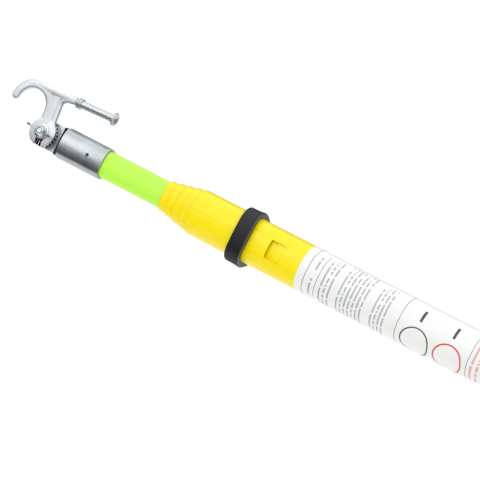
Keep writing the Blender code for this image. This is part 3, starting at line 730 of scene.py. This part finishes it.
class RodTubes(bpy.types.Operator):
    """Five yellow tubes and the green tip tube, nested, each with its lock window and button hole"""
    bl_idname = "rod.tubes"
    bl_label = "Nested tubes"

    def execute(self, context):
        sizes = context.scene.rod_sizes
        for section, node in TUBES.items():
            low, high = stations(node)
            out = (section - 6) * SECTION_STEP
            bore = out - sizes.wall
            tube = sleeve(f"{node}_skin", ((low, bore), (low, out), (high, out), (high, bore)), sizes.rim)
            if section > 1:
                join(tube, window_cutter(section, high - sizes.window_from_top, section, sizes))
            if section < 6:
                join(tube, window_cutter(section, low + BUTTON_FROM_FOOT, section + 1, sizes))
            if section == 1:
                hole = round_bar("pin hole", PIN_HOLE_R, 0.010, 0.020, 32)
                hole.location.x = PIN_AT - BOLT_AT
                join(tube, hole)
            colour = "green" if section == 1 else "yellow"
            middle, mouth = -(low + high) / 2, (high - low) / 2 - 0.9 * sizes.rim
            # the mouths take the sawn edge's darker resin, which also stands for the painted shade line at
            # each step
            finish(tube, ROD, (colour, "cut"), BODY[section], node, smooth=25,
                   second=lambda face: abs(face.center.x - middle) > mouth)
        return {"FINISHED"}


class RodGuard(bpy.types.Operator):
    """Rubber hand guard: a waisted ring with a raised lip towards the butt"""
    bl_idname = "rod.guard"
    bl_label = "Guard ring"

    def execute(self, context):
        sizes = context.scene.rod_sizes
        low, high = stations("guard_ring")
        shape = ((0, 0.0058), (0.0012, 0.0068), (0.009, 0.0069), (0.016, 0.0072), (0.0215, 0.0080),
                 (0.0228, 0.0073))
        profile = [(high - s, offset) for s, offset in shape] + [(low, CLEAR), (high, CLEAR)]
        ring = sleeve("guard_ring_skin", profile, 0.0005)
        front, out, bulge, fade = 0.0354, 0.0372, 0.0020, 0.0245
        for v in ring.data.vertices:
            around = atan2(v.co.y, v.co.z)
            behind = front - (out - bulge * cos(3 * around)) * cos(around)
            v.co.x -= sizes.guard_lean * (1 - exp(-behind / fade))
        ring.data.update()
        # painted highlight: the faces turned towards the butt take a lighter rubber
        finish(ring, ROD, ("rubber", "rubbed_rubber"), "guard", "guard_ring", smooth=40,
               second=lambda face: face.normal.x > 0.55)
        return {"FINISHED"}


class RodCap(bpy.types.Operator):
    """Rubber butt cap: a cup with grip grooves over the tube's end, and the plug that the sections land on"""
    bl_idname = "rod.cap"
    bl_label = "Butt cap"

    def execute(self, context):
        sizes = context.scene.rod_sizes
        grip, hold = 0.0035, -sizes.wall - CLEAR
        outside = [(0, grip - 0.0030), (0.0004, grip - 0.0014), (0.0014, grip - 0.0004), (0.0030, grip)]
        for i in range(4):
            s = 0.012 + i * 0.006
            outside += [(s, grip), (s + 0.0008, grip - 0.0008), (s + 0.0020, grip - 0.0008),
                        (s + 0.0028, grip)]
        outside += [(0.0438, grip), (0.0446, grip - 0.0004), (0.045, grip - 0.0012)]
        inner = [(0.045, CLEAR), (0.005, CLEAR), (0.005, hold), (0.0342, hold), (0.035, hold - 0.0008)]
        cap = sleeve("butt_cap_skin", outside + inner, form="solid")
        finish(cap, ROD, ("rubber",), BODY[6], "butt_cap", smooth=40)
        return {"FINISHED"}


class RodLabel(bpy.types.Operator):
    """Wrap label: a thin printed film round the base tube"""
    bl_idname = "rod.label"
    bl_label = "Wrap label"

    def execute(self, context):
        low, high = stations("wrap_label")
        out, thick = 0.0003, 0.0002
        label = sleeve("wrap_label_skin", ((low, out), (high, out)), form="sheet")
        self.unwrap(label)
        modify(label, "SOLIDIFY", thickness=thick, offset=-1)
        finish(label, ROD, ("film",), BODY[6], "wrap_label", smooth=25)
        return {"FINISHED"}

    @staticmethod
    def unwrap(label):
        """U is millimetres from the base tube's mouth, V is millimetres round the film from the windows"""
        mesh = label.data

        def angle(co):
            return round(atan2(-co.y, co.z), 4)

        half = sorted({abs(angle(v.co)): v.co.yz.copy() for v in mesh.vertices if v.co.y <= 1e-7}.items())
        lengths, reach = {half[0][0]: 0.0}, 0.0
        for (_, before), (turned, co) in zip(half, half[1:]):
            reach += (co - before).length
            lengths[turned] = reach
        layer = mesh.uv_layers.new(name="wrap")
        for face in mesh.polygons:
            side = -1 if face.center.y < 0 else 1
            for i in face.loop_indices:
                co = mesh.vertices[mesh.loops[i].vertex_index].co
                nearest = min(lengths, key=lambda turned: abs(turned - abs(angle(co))))
                layer.data[i].uv = ((co.x + BASE_TOP) * 1000, side * lengths[nearest] * 1000)


class RodSocket(bpy.types.Operator):
    """Cast end fitting: a triangular socket that necks down to a toothed lug, milled flat up to a step"""
    bl_idname = "rod.socket"
    bl_label = "Socket fitting"

    def execute(self, context):
        sizes = context.scene.rod_sizes
        rim = SOCKET_LENGTH
        body = pen("socket_fitting_skin", (rim, 0, APOTHEM + SOCKET_OFFSET))
        round_section(body, 8, 22)
        extrude((NECK_FULL - rim, 0, 0))
        leave()
        count = sum(abs(v.co.x - NECK_FULL) < 1e-6 for v in body.data.vertices)
        lug = self.lug_ring(count)
        choose(lug, body)
        bpy.ops.object.join()
        edit(body)
        neck = (LUG_R + CLEAR, NECK_FULL)
        pick(body, "EDGE", lambda m, way: abs(way.x) < 0.1 and min(abs(m.x - x) for x in neck) < 1e-6)
        bpy.ops.mesh.bridge_edge_loops(number_cuts=8, interpolation="SURFACE", smoothness=1.0)
        for x in (rim, LUG_R * 0.45):
            pick(body, "EDGE", lambda m, way, x=x: abs(way.x) < 0.1 and abs(m.x - x) < 1e-6)
            bpy.ops.mesh.edge_face_add()
        outward(body)
        ends = (-rim - 0.01, -rim + sizes.socket_bore)
        join(body, sleeve("bore", [(end, TIP_OFFSET + CLEAR) for end in ends], flat_steps=8, corner_steps=22,
                          form="solid"))
        edit(body)
        pick(body, "EDGE", lambda m, way: abs(way.x) < 0.1 and abs(m.x - rim) < 1e-6)
        bevel(0.0007, 3)
        leave()
        hole = round_bar("pin hole", PIN_HOLE_R, 0.004, 0.030, 32)
        hole.location.x = PIN_AT
        join(body, hole)
        wide = 0.080
        for name, size, at, corner in (
                ("milled flat", (0.080, wide, 0.040), (STEP_AT - 0.040, 0, 0.020), 0.0004),
                ("groove", (GROOVE[1] - GROOVE[0], wide, 2 * GROOVE_DEEP), (sum(GROOVE) / 2, 0, 0), 0.0003)):
            join(body, block(name, size, at, corner, axis=1, segments=2))
        join(body, toothed("lug", LUG_R, LUG_CREST, LUG_BACK, sizes.teeth, sizes.lug_tooth), "UNION")
        join(body, round_bar("bolt hole", BOLT_HOLE_R, LUG_BACK - 0.005, LUG_CREST + 0.005))
        finish(body, BOLT, ("rubbed", "cast"), BODY[1], "socket_fitting", smooth=32,
               second=lambda face: face.center.x < STEP_AT - 1e-5)
        return {"FINISHED"}

    @staticmethod
    def lug_ring(count):
        """the lug's rounded rectangle, drawn with as many points as the socket's section"""
        low, high = LUG_BACK + 0.0005, 0.004
        middle, wide, tall, radius = (low + high) / 2, LUG_R - CLEAR, (high - low) / 2, 0.003
        obj = start("circle", "lug ring", vertices=count, radius=1, fill_type="NOTHING")
        for i, v in enumerate(obj.data.vertices):
            turn_by = 2 * pi * i / count
            y, z = -sin(turn_by), cos(turn_by)
            reach = min(wide / max(abs(y), 1e-9), tall / max(abs(z), 1e-9))
            y, z = y * reach, z * reach
            inner = (wide - radius, tall - radius)
            if abs(y) > inner[0] and abs(z) > inner[1]:
                away = hypot(abs(y) - inner[0], abs(z) - inner[1])
                y = (inner[0] + (abs(y) - inner[0]) * radius / away) * (1 if y > 0 else -1)
                z = (inner[1] + (abs(z) - inner[1]) * radius / away) * (1 if z > 0 else -1)
            v.co = (LUG_R + CLEAR, y, z + middle)
        edit(obj)
        select_all()
        extrude((-0.55 * LUG_R - CLEAR, 0, 0))
        leave()
        return obj


class RodHook(bpy.types.Operator):
    """Cast hook head: hook, stem and arm as one rounded plate on a slotted boss with teeth on its back"""
    bl_idname = "rod.hook"
    bl_label = "Hook casting"

    def execute(self, context):
        sizes = context.scene.rod_sizes
        plate = hook_plate(sizes)
        join(plate, round_bar("swing room", LUG_R + CLEAR, PLATE_BACK - 0.002, BOSS_CREST + sizes.tooth, 96))
        join(plate, toothed("boss", BOSS_R, BOSS_CREST, BOSS_TOP, sizes.teeth, sizes.tooth), "UNION")
        below = PLATE_BACK - 0.001
        slot = pen("slot", (SLOT_HALF, 0, below))
        turn((0, 0, below), 180, 24, (0, 0, 1))
        for x, y in ((-SLOT_HALF, -2 * BOSS_R), (SLOT_HALF, -2 * BOSS_R), (SLOT_HALF, 0)):
            line(slot, (x, y, below))
        close(slot, fill=True)
        join(plate, slab(slot, (0, 0, BOSS_TOP - PLATE_BACK + 0.003)))
        thick = 0.002
        panel = (*PANEL_AT, PLATE_FRONT - PANEL_DEEP + thick / 2)
        join(plate, block("panel", (*PANEL_SIZE, thick), panel, PANEL_CORNER))
        edit(plate)
        pick(plate, "EDGE", lambda m, way: abs(m.z - PLATE_FRONT) < 1e-5 and abs(way.z) < 0.01 and all(
            abs(m[i] - PANEL_AT[i]) < PANEL_SIZE[i] / 2 + 0.0002 for i in (0, 1)))
        bevel(0.0005, 2)
        leave()
        hole = start("cylinder", "prong hole", vertices=32, radius=SPIGOT_HOLE_R,
                     depth=2 * (SPIGOT_LENGTH + CLEAR))
        hole.matrix_world = prong_seat() @ Matrix.Rotation(radians(90), 4, "Y")
        join(plate, hole)
        plate.name = "hook_casting_skin"
        finish(plate, HEAD, ("cast",), "head", "hook_casting", smooth=35)
        return {"FINISHED"}


class RodProng(bpy.types.Operator):
    """Turned prong: spigot, a collar of two beads, a shaft and a chamfered end disc"""
    bl_idname = "rod.prong"
    bl_label = "Prong"

    def execute(self, context):
        sizes = context.scene.rod_sizes
        radius, end, disc, thick = sizes.prong_radius, 0.0582, 0.0089, 0.0030
        bead, swell, ease = 0.0020, 0.0074, 0.0006
        profile = [(0, -SPIGOT_LENGTH), (SPIGOT_R, -SPIGOT_LENGTH), (SPIGOT_R, CLEAR)]
        for i in range(2):
            for a in range(10, 180, 20):
                profile.append((swell - bead + bead * sin(radians(a)),
                                CLEAR + bead * (2 * i + 1) - bead * cos(radians(a))))
        profile += [(radius, CLEAR + 4 * bead), (radius, end - ease), (radius + ease, end),
                    (disc - ease, end), (disc, end + ease), (disc, end + 0.0022),
                    (disc - 0.0008, end + thick), (0.0030, end + thick), (0.0018, end + 0.0021),
                    (0, end + 0.0019)]
        prong = lathe("prong_skin", profile, 64, axis=(1, 0, 0))
        finish(prong, HEAD @ prong_seat(), ("turned",), "head", "prong", smooth=40)
        return {"FINISHED"}


class RodClamp(bpy.types.Operator):
    """Clamp bolt with its hexagon head, plain washer, winged nut and the socket's hollow pin"""
    bl_idname = "rod.clamp"
    bl_label = "Clamp hardware"

    def execute(self, context):
        sizes = context.scene.rod_sizes
        self.bolt()
        self.washer()
        self.nut(sizes)
        self.pin()
        return {"FINISHED"}

    def bolt(self):
        under, end = LUG_BACK - CLEAR, NUT_BASE + NUT_HEIGHT + 0.0004
        flats, height, into, threaded, groove = 0.0130, 0.0053, 0.003, 0.006, 0.0006
        head = round_bar("clamp_bolt_skin", flats / sqrt(3), under - height, under, 6)
        edit(head)
        pick(head, "FACE", lambda m, n: abs(n.z) > 0.9)
        bpy.ops.mesh.inset(thickness=0.0004)
        select_all()
        bevel(0.0003, 2)
        leave()
        profile = [(0, under - into), (BOLT_R, under - into), (BOLT_R, end - threaded)]
        for i in range(4):
            z = end - threaded + i * THREAD_PITCH
            profile += [(BOLT_R, z), (BOLT_R - groove, z + groove), (BOLT_R, z + 0.0011)]
        profile += [(BOLT_R - 0.0009, end), (0, end)]
        join(head, lathe("shank", profile), "UNION")
        finish(head, BOLT, ("zinc",), BODY[1], "clamp_bolt", smooth=32)

    def washer(self):
        high = WASHER_BASE + WASHER_THICK
        washer = collar("flat_washer_skin", BOLT_HOLE_R, WASHER_R, WASHER_BASE, high, 64)
        finish(washer, BOLT, ("zinc",), "washer", "flat_washer", smooth=40)

    def nut(self, sizes):
        low, high = NUT_BASE, NUT_BASE + NUT_HEIGHT
        profile = ((0, low), (0.0073, low), (0.0078, low + 0.0005), (0.0078, low + 0.0015),
                   (0.0060, low + 0.0042), (0.0056, high - 0.0005), (0.0051, high), (0, high))
        hub = lathe("wing_nut_skin", profile)
        lobe_r, lobe_up, thick, root = 0.0050, 0.0088, 0.0018, 0.0026
        tip = (sizes.wing_reach - lobe_r, -thick / 2, low + lobe_up)
        for side in (1, -1):
            wing = pen("wing", (root, -thick / 2, low + 0.0015))
            begin = radians(-70)
            line(wing, (tip[0] + lobe_r * cos(begin), tip[1], tip[2] + lobe_r * sin(begin)))
            turn(tip, -185, 20, (0, 1, 0))
            for z in (high - 0.0012, low + 0.0015):
                line(wing, (root, -thick / 2, z))
            close(wing, fill=True)
            slab(wing, (0, thick, 0))
            edit(wing)
            pick(wing, "VERT", lambda co, n: co.x > 0.0110)
            bpy.ops.transform.resize(value=(1, 1.5, 1), center_override=(0, 0, 0))
            pick(wing, "EDGE", lambda m, way: abs(way.y) < 0.3 and m.x > 0.0030)
            bevel(0.0007, 3)
            outward(wing)
            if side < 0:
                place(wing, Matrix.Rotation(pi, 4, "Z"))
            join(hub, wing, "UNION")
        join(hub, round_bar("nut bore", BOLT_HOLE_R, low - 0.002, high + 0.006))
        # the wings, beyond 8.4 mm from the bolt, take the darker zinc
        finish(hub, NUT, ("zinc", "dulled"), "nut", "wing_nut", smooth=35,
               second=lambda face: face.center.xy.length > 0.0084)

    def pin(self):
        high = APOTHEM + TIP_OFFSET + SOCKET_WALL
        pin = collar("socket_pin_skin", PIN_BORE_R, PIN_R, high - PIN_LENGTH, high, 32)
        finish(pin, BOLT @ Matrix.Translation((PIN_AT, 0, 0)), ("steel",), BODY[1], "socket_pin",
               smooth=40)


class RodSprings(bpy.types.Operator):
    """Coil springs under the lock buttons, which shorten as a button is pressed; here each keeps one length
    """
    bl_idname = "rod.springs"
    bl_label = "Button springs"

    def execute(self, context):
        wire, radius, tall, turns, travel = 0.0005, 0.0036, 0.0092, 4, 0.003
        coil = start("circle", "button_spring_skin", vertices=10, radius=wire, location=(radius, 0, wire),
                     rotation=(pi / 2, 0, 0))
        bpy.ops.object.transform_apply(location=True, rotation=True, scale=True)
        modify(coil, "SCREW", axis="Z", angle=2 * pi, iterations=turns, steps=24, render_steps=24,
               screw_offset=(tall - 2 * wire) / turns)
        edit(coil)
        fill_ends(coil)
        outward(coil)
        for section in range(1, 6):
            spring = coil.copy()
            spring.data = coil.data.copy()
            spring.name = spring.data.name = f"button_spring_{section}_skin"
            bpy.context.scene.collection.objects.link(spring)
            low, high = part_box(f"button_spring_{section}")
            height = face_height(section) - BUTTON_HEIGHT - tall - CLEAR
            foot = ROD @ Vector(((low.x + high.x) / 2, 0, height))
            finish(spring, Matrix.Translation(foot) @ ROD, ("steel",), BODY[section],
                   f"button_spring_{section}", smooth=60)
            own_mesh(spring)
        bpy.data.objects.remove(coil, do_unlink=True)
        return {"FINISHED"}


class RodInside(bpy.types.Operator):
    """Finishes for the plugs, lock buttons and filler that the tubes hide"""
    bl_idname = "rod.inside"
    bl_label = "Inside pieces"

    def execute(self, context):
        for name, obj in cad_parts.items():
            for word, finish_name in (("plug", "nylon"), ("lock_button", "nylon"), ("tip_core", "foam")):
                if word in name:
                    obj.data.materials.clear()
                    obj.data.materials.append(FINISHES[finish_name])
        return {"FINISHED"}


class RodStage(bpy.types.Operator):
    """Pale floor, soft studio light and the camera"""
    bl_idname = "rod.stage"
    bl_label = "Stage"

    def execute(self, context):
        floor = start("plane", "floor", size=40, location=(-0.8, 0, cad_low[2] - 0.3))
        bpy.ops.object.transform_apply(location=True, rotation=True, scale=True)
        floor.data.materials.append(surface("matt white floor", linear("FAFAFA"), Roughness=0.9)[0])
        floor.visible_glossy = False
        floor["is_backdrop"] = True
        across, out, along = Vector((0, 0.5, 0.8660254)), Vector((0, -0.8660254, 0.5)), Vector((1, 0, 0))
        tilt, lift, roll = radians(28.78), radians(0.51), radians(27.37)
        pixels, distance, shift = 787.7, 12.0, Vector((-59.42, -36.83))
        back = along * sin(tilt) + (out * cos(lift) + across * sin(lift)) * cos(tilt)
        level = (along - back * along.dot(back)).normalized()
        upright = back.cross(level)
        right = level * cos(roll) + upright * sin(roll)
        up = upright * cos(roll) - level * sin(roll)
        target = Vector((-1.4863, 0, 0)) - right * (shift.x / pixels) + up * (shift.y / pixels)
        camera = bpy.data.objects.new("camera", bpy.data.cameras.new("camera"))
        bpy.context.scene.collection.objects.link(camera)
        camera.data.lens = pixels * distance * 36 / 480
        camera.data.clip_end = 60
        pose = Matrix((right, up, back)).transposed().to_4x4()
        pose.translation = target + back * distance
        camera.matrix_world = pose
        bpy.context.scene.camera = camera
        self.sky()
        bpy.context.scene.view_settings.view_transform = "Standard"
        return {"FINISHED"}

    @staticmethod
    def sky():
        """a soft studio as light from all round: a bright ceiling that fades towards the dark horizon, which
        gives metal its dark bands, a pale table below, a softbox for the highlight along the tubes and
        two weaker ones for the butt side and the back"""
        world = bpy.data.worlds.new("studio")
        world.use_nodes = True
        tree = world.node_tree
        way = add(tree, "TexCoord").outputs["Generated"]
        height = add(tree, "SeparateXYZ", {"Vector": way}).outputs["Z"]
        strength = 0.0
        for start_at, end_at, before, after in ((sin(radians(8)), sin(radians(42)), 0.13, 1.43),
                                                (-0.66, -0.40, 1.0, 0.0)):
            zone = add(tree, "MapRange", {"Value": height, "From Min": start_at, "From Max": end_at,
                                          "To Min": before, "To Max": after},
                       interpolation_type="SMOOTHSTEP")
            strength = add(tree, "Math", {0: zone, 1: strength}, operation="ADD")
        for place_at, tight, bright in (((-0.481, -0.677, 0.557), 60.0, 1.6),
                                        ((0.78, -0.54, 0.31), 24.0, 1.4), ((0.48, 0.76, -0.44), 24.0, 1.2)):
            facing = add(tree, "VectorMath", {0: way, 1: Vector(place_at)},
                         operation="DOT_PRODUCT").outputs["Value"]
            near = add(tree, "Math", {0: facing, 1: 0.0}, operation="MAXIMUM")
            lobe = add(tree, "Math", {0: near, 1: tight}, operation="POWER")
            strength = add(tree, "Math", {0: lobe, 1: bright, 2: strength}, operation="MULTIPLY_ADD")
        tree.links.new(strength.outputs[0], tree.nodes["Background"].inputs["Strength"])
        tree.nodes["Background"].inputs["Color"].default_value = (*linear("FBFCFD"), 1)
        bpy.context.scene.world = world


PIECES = (RodTubes, RodGuard, RodCap, RodLabel, RodSocket, RodHook, RodProng, RodClamp, RodSprings, RodInside,
          RodStage)


class RodPanel(bpy.types.Panel):
    """Lists the rod's pieces and sizes"""
    bl_idname = "VIEW3D_PT_rod"
    bl_label = "Telescopic rod"
    bl_space_type = "VIEW_3D"
    bl_region_type = "UI"
    bl_category = "Rod"

    def draw(self, context):
        for piece in PIECES:
            self.layout.operator(piece.bl_idname)
        for group in (context.scene.rod_sizes, context.scene.rod_colours):
            for name in group.__annotations__:
                self.layout.prop(group, name)


CLASSES = (RodSizes, RodColours) + PIECES + (RodPanel,)


def register():
    for cls in CLASSES:
        bpy.utils.register_class(cls)
    bpy.types.Scene.rod_sizes = PointerProperty(type=RodSizes)
    bpy.types.Scene.rod_colours = PointerProperty(type=RodColours)


def unregister():
    del bpy.types.Scene.rod_colours
    del bpy.types.Scene.rod_sizes
    for cls in reversed(CLASSES):
        bpy.utils.unregister_class(cls)


def main():
    register()
    make_finishes(bpy.context.scene.rod_colours)
    for piece in PIECES:
        group, name = piece.bl_idname.split(".")
        getattr(getattr(bpy.ops, group), name)()


if __name__ == "__main__":
    main()
